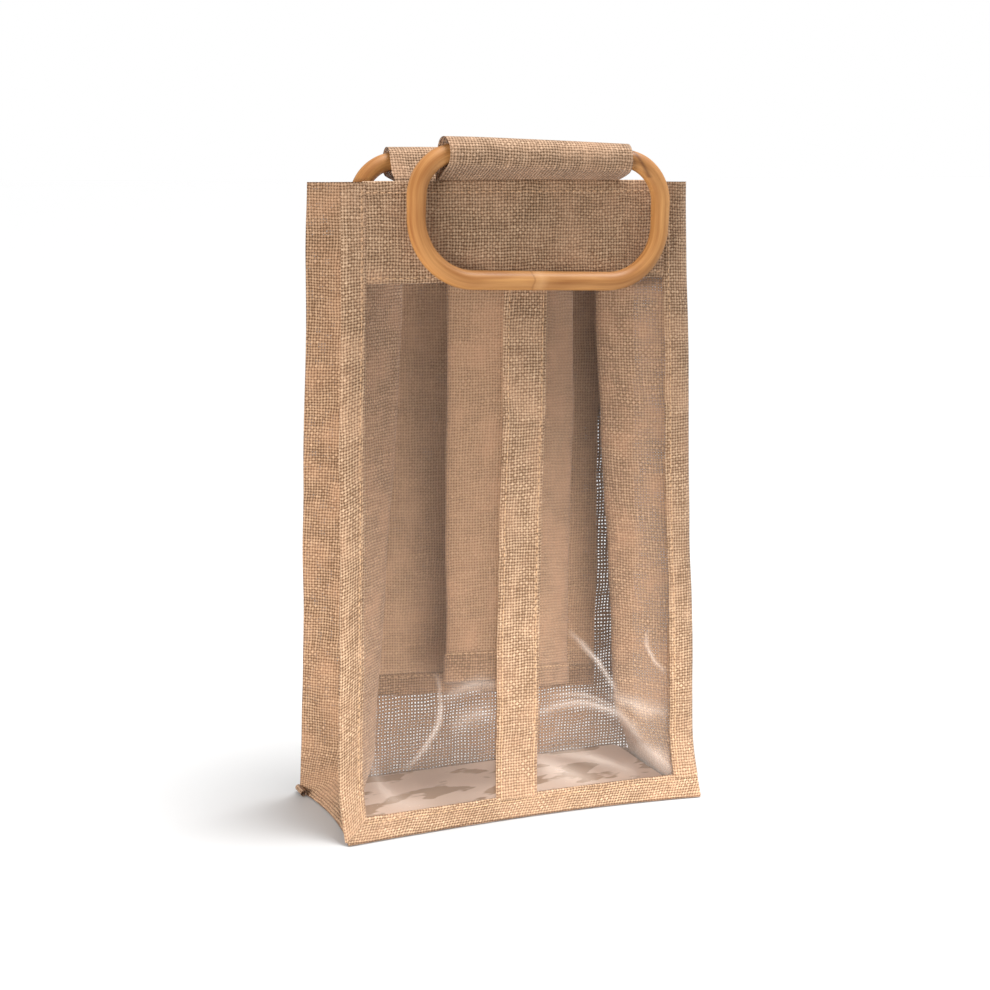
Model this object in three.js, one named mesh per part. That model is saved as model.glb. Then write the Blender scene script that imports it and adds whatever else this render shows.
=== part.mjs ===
// A wine gift bag for two bottles: open-weave jute walls, a clear window in a jute frame,
// cloth partitions inside, and two bent-cane handles that turn in cloth sleeves at the top.
// Millimetres, +Z up. The window faces -Y, and the origin is the middle of the underside.
import * as THREE from "three";

// The bag's outside. Its walls lean out a little from the top to the foot.
const HEIGHT = 350;
const TOP_HALF_WIDTH = 99;
const TOP_HALF_DEPTH = 32;
const LEAN = 0.0225; // how far a wall goes outwards for each mm down

// The foot, where the walls turn out to meet the seam round the base.
const FOOT_HEIGHT = 45;
const FRONT_KICK = 5; // how far the front turns out at its middle
const FRONT_CORNER_KICK = 5; // and how much further at its corners
const BACK_KICK = 4;
const SIDE_BOW = 5; // how far the side seams of the base curve in at their middles

// Cloth and board
const GAP = 0.3; // between two sewn pieces, so that each stays a solid of its own
const JUTE = 1.2;
const FOLDED_JUTE = 2.2; // the frame strips, which are folded over
const FILM = 0.4;
const BASE_CLOTH = 1.4;
const BOARD = 2.8;
const BOARD_HALF_WIDTH = 96;
const BOARD_FRONT = -40;
const BOARD_BACK = 41;
const FLOOR = BASE_CLOTH + GAP; // the level that the walls and the board stand on

// The jute frame round the window
const TOP_BAND = 51;
const BOTTOM_BAND_TOP = 12;
const LEFT_STRIP = 11.5;
const RIGHT_STRIP = 13.5;
const CENTRE_STRIP = 23;
const CENTRE_STRIP_TOP_X = 5; // the centre strip leans, so it is further left at the foot
const CENTRE_STRIP_FOOT_X = -6;
const FILM_TOP = 312;
const FILM_INSET = 5; // from the corner seams

// The side walls fold inwards along the middle of the depth, more towards the top. At the foot
// the fold opens into a triangle of the given height, which slopes out to the base seam.
const LEFT_FOLD = { foot: 29.5, rise: 0.056, most: 45, triangle: 31 };
const RIGHT_FOLD = { foot: 29, rise: 0.043, most: 40.5, triangle: 42 };
const FOLD_SOFTNESS = 0.12; // how round the crease is, as a share of half the depth

// The partitions hang between the front seam and the back, and each has a crease halfway.
const PARTITION_TOP = 337;
const LEFT_CREASE = { top: -30, foot: -34 };
const RIGHT_CREASE = { top: 46, foot: 42 };
const BACK_SEAM_X = 3;
const SEAM_OFFSET = 1; // of each partition from the middle of the seam
const LEFT_HEM = { front: 78, middle: 69.5, back: 55 };
const RIGHT_HEM = { front: 72, middle: 61, back: 50 };
const LINING = { left: -85, right: 77, leftHem: 57, rightHem: 46.5, clear: 3 };

// The handles: a ring of bent cane, whose top bar turns in a sleeve of folded jute.
// The ring's sizes are to the middle of the cane, and its corners are bent by hand, all unlike.
const CANE_RADIUS = 5.1;
const RING_HALF_WIDTH = 70.3;
const RING_HEIGHT = 65.4;
const RING_CORNERS = { topRight: 23.5, topLeft: 22.5, bottomLeft: 33, bottomRight: 30 };
const SLEEVE_LENGTH = 104.5;
const SLEEVE_INNER_RADIUS = 7.4;
const SLEEVE_CLOTH = 1.1;
const AXIS_OUT = 41.6; // from the middle of the bag to the handles' axes
// Each handle's axis passes through its middle, and the front one slopes down to the right.
const FRONT_HANDLE = {
  side: -1,
  middle: 8.6,
  axisHeight: 363.8,
  slope: THREE.MathUtils.degToRad(1.8),
  sleeveMiddle: 5.75,
};
const REAR_HANDLE = { side: 1, middle: 3, axisHeight: 361, slope: 0, sleeveMiddle: 2.5 };
const TAB_BOTTOM = 338; // the sleeve's tab is sewn in behind the top edge, down to here

// How finely the surfaces are cut up
const ROWS = 16; // up a panel as tall as the bag
const PARTITION_ROWS = 8;
const FOLD_COLUMNS = 12; // across a panel that curves or is folded
const STRIP_COLUMNS = 2;
const BASE_ROWS = 8;
const BAND_ROWS = 4;
const LINING_GRID = 4;
const CANE_SIDES = 10;
const RING_STEPS = 72;
const SLEEVE_STEPS = 20;

const { lerp, clamp } = THREE.MathUtils;

const jute = (color) => ({ color, roughness: 0.95, metalness: 0 });
const FINISHES = {
  wall: jute(0xb8946f),
  frame: jute(0xc2a07a),
  partition: jute(0xa98763),
  sleeve: jute(0xb59674),
  board: { color: 0x9c7d5c, roughness: 0.9, metalness: 0 },
  cane: { color: 0xcf9550, roughness: 0.38, metalness: 0 },
  film: { color: 0xf2efe9, roughness: 0.08, metalness: 0, transparent: true, opacity: 0.25 },
};

const bag = new THREE.Group();

function add(name, finish, geometry) {
  const mesh = new THREE.Mesh(geometry, new THREE.MeshStandardMaterial(FINISHES[finish]));
  mesh.name = name;
  bag.add(mesh);
}

// A thin panel is a box cut into a grid, with each point moved to its place in the bag.
// place takes how far the point is across, up and through the panel, from 0 to 1.
function addPanel(name, finish, across, up, place) {
  const geometry = new THREE.BoxGeometry(1, 1, 1, across, up, 1);
  const points = geometry.attributes.position;
  for (let i = 0; i < points.count; i++) {
    const share = [points.getX(i) + 0.5, points.getY(i) + 0.5, points.getZ(i) + 0.5];
    points.setXYZ(i, ...place(...share));
  }
  geometry.computeVertexNormals();
  add(name, finish, geometry);
}

// Heights from bottom to top, closer together at the foot, where the walls curve.
const level = (bottom, top, up) => lerp(bottom, top, up ** 2);

// The bag's outer surfaces
const halfWidth = (z) => TOP_HALF_WIDTH + LEAN * (HEIGHT - z);
const halfDepth = (z) => TOP_HALF_DEPTH + LEAN * (HEIGHT - z);
const kick = (z) => Math.max(0, 1 - z / FOOT_HEIGHT) ** 2;
const backY = (z) => halfDepth(z) + BACK_KICK * kick(z);
const frontY = (x, z) =>
  -halfDepth(z) - kick(z) * (FRONT_KICK + FRONT_CORNER_KICK * (x / halfWidth(z)) ** 2);

// A crease's depth across a fold: 0 at both seams and 1 at the crease. side runs from -1 to 1.
const crease = (side) =>
  (Math.hypot(1, FOLD_SOFTNESS) - Math.hypot(side, FOLD_SOFTNESS)) /
  (Math.hypot(1, FOLD_SOFTNESS) - FOLD_SOFTNESS);

// ---- Back wall, side walls, base cloth and base board ----

addPanel("back_panel", "wall", STRIP_COLUMNS, ROWS, (across, up, through) => {
  const z = level(FLOOR, HEIGHT, up);
  return [lerp(-halfWidth(z), halfWidth(z), across), backY(z) - JUTE * through, z];
});

// How far the base's side seams curve in. side runs from -1 at the front to 1 at the back.
const bow = (side) => SIDE_BOW * (1 - side ** 2);

function foldDepth(fold, side, z) {
  const most = (height) => Math.min(fold.foot + fold.rise * height, fold.most);
  const triangle = lerp(bow(side), most(fold.triangle), z / fold.triangle);
  return Math.min(most(z) * crease(side), triangle);
}

function addSideWall(name, direction, fold) {
  addPanel(name, "wall", FOLD_COLUMNS, ROWS, (across, up, through) => {
    const z = level(FLOOR, HEIGHT, up);
    const front = frontY(halfWidth(z), z) + FOLDED_JUTE + GAP;
    const y = lerp(front, backY(z) - JUTE - GAP, across);
    const outer = halfWidth(z) - foldDepth(fold, 2 * across - 1, z);
    const inwards = direction < 0 ? through : 1 - through;
    return [direction * (outer - JUTE * inwards), y, z];
  });
}
addSideWall("left_gusset", -1, LEFT_FOLD);
addSideWall("right_gusset", 1, RIGHT_FOLD);

addPanel("base_panel", "wall", FOLD_COLUMNS, BASE_ROWS, (across, up, through) => {
  const x = lerp(-1, 1, across) * (halfWidth(0) - bow(2 * up - 1));
  return [x, lerp(frontY(x, 0), backY(0), up), BASE_CLOTH * through];
});

addPanel("base_board", "board", STRIP_COLUMNS, STRIP_COLUMNS, (across, up, through) => {
  const x = lerp(-BOARD_HALF_WIDTH, BOARD_HALF_WIDTH, across);
  return [x, lerp(BOARD_FRONT, BOARD_BACK, up), FLOOR + BOARD * through];
});

// ---- The front: a frame of folded jute with a clear film sewn in behind it ----

const onFront = (x, z, through) => [x, frontY(x, z) + FOLDED_JUTE * (1 - through), z];

addPanel("front_top_band", "frame", STRIP_COLUMNS, STRIP_COLUMNS, (across, up, through) => {
  const z = lerp(HEIGHT - TOP_BAND, HEIGHT, up);
  const left = -halfWidth(z) + LEFT_STRIP + GAP;
  const right = halfWidth(z) - RIGHT_STRIP - GAP;
  return onFront(lerp(left, right, across), z, through);
});

// The bottom band and the side strips meet in a mitre at each lower corner.
addPanel("front_bottom_band", "frame", FOLD_COLUMNS, BAND_ROWS, (across, up, through) => {
  const z = lerp(FLOOR, BOTTOM_BAND_TOP, up);
  const left = -halfWidth(z) + LEFT_STRIP * up + GAP;
  const right = halfWidth(z) - RIGHT_STRIP * up - GAP;
  return onFront(lerp(left, right, across), z, through);
});

function addSideStrip(name, direction, width) {
  addPanel(name, "frame", STRIP_COLUMNS, ROWS, (across, up, through) => {
    const inwards = direction < 0 ? across : 1 - across;
    const z = level(lerp(FLOOR, BOTTOM_BAND_TOP, inwards), HEIGHT, up);
    return onFront(direction * (halfWidth(z) - width * inwards), z, through);
  });
}
addSideStrip("front_left_strip", -1, LEFT_STRIP);
addSideStrip("front_right_strip", 1, RIGHT_STRIP);

const centreX = (z) => lerp(CENTRE_STRIP_FOOT_X, CENTRE_STRIP_TOP_X, z / HEIGHT);

addPanel("front_centre_strip", "frame", STRIP_COLUMNS, ROWS, (across, up, through) => {
  const z = level(BOTTOM_BAND_TOP + GAP, HEIGHT - TOP_BAND - GAP, up);
  return onFront(centreX(z) + CENTRE_STRIP * (across - 0.5), z, through);
});

addPanel("window_sheet", "film", FOLD_COLUMNS, ROWS, (across, up, through) => {
  const z = level(FLOOR, FILM_TOP, up);
  const x = lerp(-1, 1, across) * (halfWidth(z) - FILM_INSET);
  return [x, frontY(x, z) + FOLDED_JUTE + GAP + FILM * (1 - through), z];
});

// ---- Inside: two creased partitions and a curtain along the back ----

// A value that goes straight from the front to the middle and straight on to the back.
const bentLine = (at, across) =>
  across < 0.5 ? lerp(at.front, at.middle, across * 2) : lerp(at.middle, at.back, across * 2 - 1);

function addPartition(name, direction, creaseLine, hem) {
  addPanel(name, "partition", FOLD_COLUMNS, PARTITION_ROWS, (across, up, through) => {
    const z = lerp(bentLine(hem, across), PARTITION_TOP, up);
    const front = frontY(0, z) + FOLDED_JUTE + FILM + 3 * GAP;
    const back = backY(z) - JUTE - LINING.clear - JUTE - GAP;
    const seam = lerp(centreX(z), BACK_SEAM_X, across) + direction * SEAM_OFFSET;
    const creaseX = lerp(creaseLine.foot, creaseLine.top, z / HEIGHT);
    const x = lerp(seam, creaseX, crease(2 * across - 1));
    return [x + JUTE * (through - (direction < 0 ? 1 : 0)), lerp(front, back, across), z];
  });
}
addPartition("divider_left", -1, LEFT_CREASE, LEFT_HEM);
addPartition("divider_right", 1, RIGHT_CREASE, RIGHT_HEM);

addPanel("back_lining", "partition", LINING_GRID, LINING_GRID, (across, up, through) => {
  const z = lerp(lerp(LINING.leftHem, LINING.rightHem, across), PARTITION_TOP, up);
  const outer = backY(z) - JUTE - LINING.clear;
  return [lerp(LINING.left, LINING.right, across), outer - JUTE * through, z];
});

// ---- Handles ----

// The ring's middle line: a rectangle with round corners, which hangs from the middle of its
// top bar, at the origin.
function ringLine() {
  const { topRight, topLeft, bottomLeft, bottomRight } = RING_CORNERS;
  const quarter = Math.PI / 2;
  const line = new THREE.Path();
  const corner = (side, level, radius, turn) =>
    line.absarc(
      side * (RING_HALF_WIDTH - radius),
      level > 0 ? -radius : radius - RING_HEIGHT,
      radius,
      turn * quarter,
      (turn + 1) * quarter,
    );
  corner(1, 1, topRight, 0);
  corner(-1, 1, topLeft, 1);
  corner(-1, -1, bottomLeft, 2);
  corner(1, -1, bottomRight, 3);
  line.closePath();
  return line;
}

// A torus has the right faces for a ring, and its points are moved onto the ring's line.
function addCaneRing(name, handle) {
  const line = ringLine();
  const geometry = new THREE.TorusGeometry(1, 0.1, CANE_SIDES, RING_STEPS);
  const { position, uv } = geometry.attributes;
  for (let i = 0; i < position.count; i++) {
    const along = uv.getX(i) % 1;
    const around = 2 * Math.PI * uv.getY(i);
    const middle = line.getPointAt(along);
    const tangent = line.getTangentAt(along);
    const out = CANE_RADIUS * Math.cos(around);
    position.setXYZ(
      i,
      middle.x + tangent.y * out,
      middle.y - tangent.x * out,
      CANE_RADIUS * Math.sin(around),
    );
  }
  geometry.rotateX(Math.PI / 2);
  geometry.rotateY(handle.slope);
  geometry.translate(handle.middle, handle.side * AXIS_OUT, handle.axisHeight);
  geometry.computeVertexNormals();
  add(name, "cane", geometry);
}

// The sleeve's section: out runs away from the bag, and up is the height. Two layers of cloth
// come up from a tab inside the top edge, part, and go round the cane.
const SLEEVE_FOOT = HEIGHT + GAP + 0.1; // where the two layers part
const SLEEVE_RADIUS = SLEEVE_INNER_RADIUS + SLEEVE_CLOTH;

function sleeveSection(axisHeight) {
  const tabOuter = TOP_HALF_DEPTH - FOLDED_JUTE - GAP;
  const tabInner = tabOuter - FOLDED_JUTE;
  // The direction of the line from a corner of the tab that touches the cloth round the cane.
  const touching = (out, turn) => {
    const across = AXIS_OUT - out;
    const rise = axisHeight - SLEEVE_FOOT;
    const turned = Math.asin(SLEEVE_RADIUS / Math.hypot(across, rise));
    return Math.atan2(rise, across) + turn * turned;
  };
  const section = new THREE.Shape();
  section.moveTo(tabInner, TAB_BOTTOM);
  section.lineTo(tabOuter, TAB_BOTTOM);
  section.lineTo(tabOuter, SLEEVE_FOOT);
  const start = touching(tabOuter, -1) - Math.PI / 2;
  const end = touching(tabInner, 1) + Math.PI / 2;
  section.absarc(AXIS_OUT, axisHeight, SLEEVE_RADIUS, start, end);
  section.lineTo(tabInner, SLEEVE_FOOT);
  section.closePath();
  const tunnel = new THREE.Path();
  tunnel.absarc(AXIS_OUT, axisHeight, SLEEVE_INNER_RADIUS, 0, 2 * Math.PI);
  section.holes.push(tunnel);
  return section;
}

function addSleeve(name, handle) {
  const geometry = new THREE.ExtrudeGeometry(sleeveSection(handle.axisHeight), {
    depth: SLEEVE_LENGTH,
    bevelEnabled: false,
    curveSegments: SLEEVE_STEPS,
  });
  const out = new THREE.Vector3(0, handle.side, 0);
  const up = new THREE.Vector3(0, 0, 1);
  const along = new THREE.Vector3().crossVectors(out, up);
  geometry.applyMatrix4(new THREE.Matrix4().makeBasis(out, up, along));
  geometry.translate(handle.sleeveMiddle - (along.x * SLEEVE_LENGTH) / 2, 0, 0);
  // The part round the cane slopes as the axis does, and the tab stays level.
  const points = geometry.attributes.position;
  const tubeFoot = handle.axisHeight - SLEEVE_RADIUS;
  for (let i = 0; i < points.count; i++) {
    const share = clamp((points.getZ(i) - SLEEVE_FOOT) / (tubeFoot - SLEEVE_FOOT), 0, 1);
    const drop = Math.tan(handle.slope) * (points.getX(i) - handle.middle);
    points.setZ(i, points.getZ(i) - share * drop);
  }
  geometry.computeVertexNormals();
  add(name, "sleeve", geometry);
}

addSleeve("front_handle_sleeve", FRONT_HANDLE);
addSleeve("rear_handle_sleeve", REAR_HANDLE);
addCaneRing("front_cane_handle", FRONT_HANDLE);
addCaneRing("rear_cane_handle", REAR_HANDLE);

export default bag;
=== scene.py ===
import math

import bpy
import numpy as np
from mathutils import Matrix, Vector, noise


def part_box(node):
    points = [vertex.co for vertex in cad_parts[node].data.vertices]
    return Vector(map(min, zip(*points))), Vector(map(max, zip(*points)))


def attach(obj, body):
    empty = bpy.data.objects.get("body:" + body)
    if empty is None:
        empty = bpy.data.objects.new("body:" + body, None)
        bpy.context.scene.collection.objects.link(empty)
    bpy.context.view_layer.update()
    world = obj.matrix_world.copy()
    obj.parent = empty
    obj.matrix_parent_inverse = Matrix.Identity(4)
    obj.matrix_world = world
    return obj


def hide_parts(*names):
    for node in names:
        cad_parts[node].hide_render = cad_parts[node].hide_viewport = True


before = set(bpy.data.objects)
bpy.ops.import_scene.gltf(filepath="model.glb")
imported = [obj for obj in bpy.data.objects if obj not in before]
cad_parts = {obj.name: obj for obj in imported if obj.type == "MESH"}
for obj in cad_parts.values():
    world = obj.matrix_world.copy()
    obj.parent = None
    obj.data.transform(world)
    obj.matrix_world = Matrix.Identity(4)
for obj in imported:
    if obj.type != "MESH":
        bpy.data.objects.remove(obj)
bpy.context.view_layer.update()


# ---- Where the bag stands ----
# A wide white table in a white room, under one broad soft light from above on the right. A
# low lamp in front lights the foot of the bag more than its top.

bpy.context.scene.view_settings.view_transform = "Standard"


def deselect():
    if bpy.context.object and bpy.context.object.mode == "EDIT":
        bpy.ops.object.mode_set(mode="OBJECT")
    bpy.ops.object.select_all(action="DESELECT")


deselect()
bpy.ops.mesh.primitive_plane_add(size=60)
table = bpy.context.object
table.name = "table_top"
table_finish = bpy.data.materials.new("white_table")
table_finish.use_nodes = True
table_shader = table_finish.node_tree.nodes["Principled BSDF"]
table_shader.inputs["Roughness"].default_value = 0.8
# The table is seen as white, but throws less light up at the bag than a white one would.
table_nodes = table_finish.node_tree.nodes
first_sight = table_nodes.new("ShaderNodeLightPath")
whiteness = table_nodes.new("ShaderNodeMapRange")
whiteness.inputs["To Min"].default_value = 0.34
whiteness.inputs["To Max"].default_value = 0.59
table_finish.node_tree.links.new(first_sight.outputs["Is Camera Ray"], whiteness.inputs["Value"])
table_finish.node_tree.links.new(whiteness.outputs["Result"], table_shader.inputs["Base Color"])
table.data.materials.append(table_finish)

# The room is seen as white, and lights the bag more softly than that.
room = bpy.data.worlds.new("white_room")
room.use_nodes = True
room_nodes = room.node_tree.nodes
backdrop = room_nodes["Background"]
backdrop.inputs["Color"].default_value = (1, 1, 1, 1)
seen = room_nodes.new("ShaderNodeLightPath")
strength = room_nodes.new("ShaderNodeMapRange")
strength.inputs["To Min"].default_value = 0.4
strength.inputs["To Max"].default_value = 1.0
room.node_tree.links.new(seen.outputs["Is Camera Ray"], strength.inputs["Value"])
room.node_tree.links.new(strength.outputs["Result"], backdrop.inputs["Strength"])
bpy.context.scene.world = room

bpy.ops.object.light_add(type="SUN", location=(1, -1, 2))
skylight = bpy.context.object
skylight.name = "broad_skylight"
skylight.data.energy = 4.5
skylight.data.angle = math.radians(38)
skylight.rotation_euler = Vector((0.48, -0.12, 1.3)).to_track_quat("Z", "Y").to_euler()


def add_low_lamp(name, place, aim, width, beam, power):
    """A lamp near the table, which is not itself in the picture."""
    bpy.ops.object.light_add(type="AREA", location=place)
    lamp = bpy.context.object
    lamp.name = name
    lamp.data.shape = "RECTANGLE"
    lamp.data.size, lamp.data.size_y = width, 0.12
    lamp.data.spread = math.radians(beam)
    lamp.data.energy = power
    lamp.rotation_euler = (Vector(place) - Vector(aim)).to_track_quat("Z", "Y").to_euler()
    lamp.visible_camera = lamp.visible_glossy = False


add_low_lamp("front_foot_lamp", (0.05, -0.36, 0.06), (0.02, 0, 0.0), 0.4, 95, 0.5)
add_low_lamp("left_foot_lamp", (-0.6, -0.05, 0.1), (0, 0, 0.1), 0.3, 80, 0.4)
add_low_lamp("left_front_lamp", (-0.85, -0.62, 0.3), (-0.05, 0, 0.26), 0.5, 120, 2.7)
add_low_lamp("rear_lamp", (0.35, 0.95, 0.35), (0, 0, 0.18), 0.5, 120, 1.2)

bpy.ops.object.camera_add(
    location=(-0.3787, -0.9238, 0.3613),
    rotation=(math.radians(79.47), 0, math.radians(-22.19)),
)
camera = bpy.context.object
camera.data.lens = 65.42
camera.data.sensor_width = 36
bpy.context.scene.camera = camera


# ---- Back wall ----
# One layer of loose plain-woven jute, from the base seam to the top edge. It is hemmed at the
# top and sewn to the side walls. Light comes through between its threads.

MM = 0.001
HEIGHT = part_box("back_panel")[1].z
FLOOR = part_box("back_panel")[0].z
SEAM = 0.5 * MM  # where the walls are sewn to the base
TOP_HALF_WIDTH = 99 * MM
TOP_HALF_DEPTH = 32 * MM
LEAN = 0.0225  # how far a wall goes outwards on the way down
FOOT_HEIGHT = 45 * MM
FRONT_KICK = 5 * MM  # how far the front turns out at the foot
LEFT_CORNER_KICK = 5 * MM  # and how much further at the corners
RIGHT_CORNER_KICK = 8.5 * MM
BACK_KICK = 4 * MM


def lerp(a, b, t):
    return a + (b - a) * t


def half_width(z):
    return TOP_HALF_WIDTH + LEAN * (HEIGHT - z)


def kick(z):
    return max(0, 1 - z / FOOT_HEIGHT) ** 2


def back_y(z):
    return TOP_HALF_DEPTH + LEAN * (HEIGHT - z) + BACK_KICK * kick(z)


def front_y(x, z):
    corner = RIGHT_CORNER_KICK if x > 0 else LEFT_CORNER_KICK
    turn = FRONT_KICK + corner * (x / half_width(z)) ** 2
    return -(TOP_HALF_DEPTH + LEAN * (HEIGHT - z)) - kick(z) * turn


def settled(point):
    """Where a point of the sewn bag ends up, with the slackness of the whole bag."""
    p = Vector(point)
    give = noise.noise_vector(p * 13) * 1.3 + noise.noise_vector(p * 37) * 0.45
    give.z *= 0.4
    if p.x > 0:
        p.x *= 1 - 0.018 * kick(p.z)
    return p + give * MM * min(1, p.z / 0.02)


def cut_cloth(name, grid):
    """A sheet of cloth from rows of points. The map "threads" holds the distances along the
    cloth in metres, from its middle column and its first row."""
    points = np.array([[settled(p) for p in row] for row in grid])
    rows, columns = points.shape[:2]
    steps = np.linalg.norm(np.diff(points, axis=1), axis=2)
    across = np.hstack([np.zeros((rows, 1)), np.cumsum(steps, axis=1)])
    across -= across[:, columns // 2][:, None]
    climbs = np.linalg.norm(np.diff(points, axis=0), axis=2).mean(axis=1)
    up = np.concatenate([[0], np.cumsum(climbs)])
    corner = np.arange((rows - 1) * columns).reshape(rows - 1, columns)[:, :-1].ravel()
    faces = np.stack([corner, corner + 1, corner + columns + 1, corner + columns], 1)
    mesh = bpy.data.meshes.new(name)
    mesh.from_pydata(points.reshape(-1, 3).tolist(), [], faces.tolist())
    threads = mesh.uv_layers.new(name="threads")
    spots = np.stack([across, np.broadcast_to(up[:, None], across.shape)], 2).reshape(-1, 2)
    threads.data.foreach_set("uv", spots[faces.ravel()].ravel())
    mesh.shade_smooth()
    piece = bpy.data.objects.new(name, mesh)
    bpy.context.collection.objects.link(piece)
    return piece


def spread(count, start=0.0, end=1.0):
    return [lerp(start, end, i / (count - 1)) for i in range(count)]


class Wire:
    """A socket of a material's nodes, which takes part in sums."""

    def __init__(self, tree, socket=None):
        self.tree, self.socket = tree, socket

    def node(self, kind, settings=None, sockets=None, output=0):
        made = self.tree.nodes.new(kind)
        for key, value in (settings or {}).items():
            if key == "stops":
                for stop, (place, colour) in zip(
                    list(made.color_ramp.elements)
                    + [made.color_ramp.elements.new(1) for _ in value[2:]],
                    value,
                ):
                    stop.position, stop.color = place, colour
            else:
                setattr(made, key, value)
        for key, value in (sockets or {}).items():
            if isinstance(value, Wire):
                self.tree.links.new(value.socket, made.inputs[key])
            else:
                made.inputs[key].default_value = value
        return Wire(self.tree, made.outputs[output])

    def sum(self, operation, *values):
        return self.node(
            "ShaderNodeMath", {"operation": operation}, dict(enumerate((self, *values)))
        )

    def __add__(self, other):
        return self.sum("ADD", other)

    __radd__ = __add__

    def __mul__(self, other):
        return self.sum("MULTIPLY", other)

    __rmul__ = __mul__

    def __sub__(self, other):
        return self.sum("SUBTRACT", other)

    def __rsub__(self, other):
        return (self * -1) + other

    def __truediv__(self, other):
        return self.sum("DIVIDE", other)

    def __abs__(self):
        return self.sum("ABSOLUTE")

    def __pow__(self, power):
        return self.sum("POWER", power)

    def clamped(self):
        return self.node("ShaderNodeClamp", {}, {"Value": self})

    def joined(self, y, z=0.0):
        return self.node("ShaderNodeCombineXYZ", {}, {"X": self, "Y": y, "Z": z})

    def mottle(self, scale, detail=2.0):
        """Noise at this place, about 0 to 1."""
        return self.node(
            "ShaderNodeTexNoise", {}, {"Vector": self, "Scale": scale, "Detail": detail}
        )

    def tint(self, a, b):
        """The colour from a to b by this share."""
        return self.node(
            "ShaderNodeMix",
            {"data_type": "RGBA"},
            {"Factor": self, "A": a, "B": b},
            output="Result",
        )


def colour(red, green, blue):
    """An sRGB colour, 0 to 255, as the shaders take it."""
    return tuple(
        c / 255 / 12.92 if c / 255 <= 0.04045 else ((c / 255 + 0.055) / 1.055) ** 2.4
        for c in (red, green, blue)
    ) + (1,)


def weave(name, pale, deep, rusty, pitch=1.65, openness=1.0, contrast=1.0, seed=0.0):
    """Plain-woven jute: uneven threads over and under each other, with holes between. The
    pitch is from one thread to the next, in mm."""
    finish = bpy.data.materials.new(name)
    finish.use_nodes = True
    tree = finish.node_tree
    start = Wire(tree)
    place = start.node("ShaderNodeUVMap", {"uv_map": "threads"})
    split = tree.nodes.new("ShaderNodeSeparateXYZ")
    tree.links.new(place.socket, split.inputs[0])
    u, v = Wire(tree, split.outputs["X"]), Wire(tree, split.outputs["Y"])
    flat = (u + seed).joined(v, seed)
    drift = flat.mottle(45, 2)
    bend = (v + 0.5).joined(u, seed).mottle(60, 2)
    warp_place = u / (pitch * MM) + (drift - 0.5) * 1.3 + (bend - 0.5) * 0.8
    weft_place = v / (pitch * MM) + (bend - 0.5) * 1.5 + (drift - 0.5) * 0.7
    warp, weft = warp_place.sum("FLOOR"), weft_place.sum("FLOOR")
    # Threads are thick and thin along their length, each in its own way.
    warp_slub = (warp * 7.31).joined(v * 75, seed).mottle(1.0, 1)
    weft_slub = (weft * 5.17).joined(u * 75, seed + 9).mottle(1.0, 1)
    warp_half = 0.43 / openness + (warp_slub - 0.5) * 0.42 + (drift - 0.5) * 0.12
    weft_half = 0.455 / openness + (weft_slub - 0.5) * 0.42 + (bend - 0.5) * 0.12
    warp_in = warp_place - warp - 0.5
    weft_in = weft_place - weft - 0.5
    warp_share = (abs(warp_in) / warp_half).sum("MINIMUM", 1.0)
    weft_share = (abs(weft_in) / weft_half).sum("MINIMUM", 1.0)
    warp_there = ((warp_half - abs(warp_in)) / 0.07).clamped()
    weft_there = ((weft_half - abs(weft_in)) / 0.07).clamped()
    over = ((warp + weft) / 2).sum("FRACT") * 4 - 1
    # A round thread, raised where it passes over and sunk where it passes under.
    warp_top = (1 - warp_share * warp_share).sum("SQRT") + over * (weft_in * math.pi).sum(
        "COSINE"
    )
    weft_top = (1 - weft_share * weft_share).sum("SQRT") - over * (warp_in * math.pi).sum(
        "COSINE"
    )
    warp_level = warp_top * warp_there - (1 - warp_there) * 3
    weft_level = weft_top * weft_there - (1 - weft_there) * 3
    top = warp_level.sum("MAXIMUM", weft_level)
    warp_seen = ((warp_level - weft_level) * 4 + 0.5).clamped()
    # Fibres run along the threads, and no two threads are of one shade.
    warp_fibre = (u * 5200).joined(v * 420, seed).mottle(1.0, 2)
    weft_fibre = (u * 420).joined(v * 5200, seed).mottle(1.0, 2)
    fibre = warp_seen * warp_fibre + (1 - warp_seen) * weft_fibre
    slub = warp_seen * warp_slub + (1 - warp_seen) * weft_slub
    # Painted light and shade: a thread is painted lighter where it rises over a crossing and darker where it
    # dips under.
    warp_lift = over * (weft_in * math.pi).sum("COSINE")
    weft_lift = over * (warp_in * math.pi).sum("COSINE") * -1
    thread_lift_shading = warp_seen * warp_lift + (1 - warp_seen) * weft_lift
    # Painted shade: the cloth is painted darker in the pits between four crossings, where shade falls.
    pit_shade = (abs(warp_in) * abs(weft_in) * 4).sum("POWER", 1.6)
    shade = 0.47 + thread_lift_shading * 0.2 - warp_seen * 0.1 - pit_shade * 1.15
    shade = shade + (fibre - 0.5) * 1.2 + (slub - 0.5) * 0.7
    shade = (shade - 0.5) * contrast + 0.5
    thread = shade.clamped().tint(deep, pale)
    patch = ((drift - 0.42) * 3).clamped() * 0.5
    solid = warp_there.sum("MAXIMUM", weft_there)
    worn = solid.tint(pale, patch.tint(thread, rusty))
    shader = tree.nodes["Principled BSDF"]
    tree.links.new(worn.socket, shader.inputs["Base Color"])
    # A few loose fibres cross the holes.
    fuzzy = solid.sum("MAXIMUM", 0.27)
    tree.links.new(fuzzy.socket, shader.inputs["Alpha"])
    rough = 0.78 + fibre * 0.2
    tree.links.new(rough.socket, shader.inputs["Roughness"])
    shader.inputs["Specular IOR Level"].default_value = 0.25
    shader.inputs["Sheen Weight"].default_value = 0.12
    lift = start.node(
        "ShaderNodeBump", {}, {"Height": top, "Distance": 0.25 * MM, "Strength": 0.9}
    )
    tree.links.new(lift.socket, shader.inputs["Normal"])
    return finish


wall_jute = weave(
    "wall_jute", colour(214, 177, 143), colour(114, 80, 52), colour(200, 154, 120), openness=0.98, contrast=1.2
)


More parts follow.
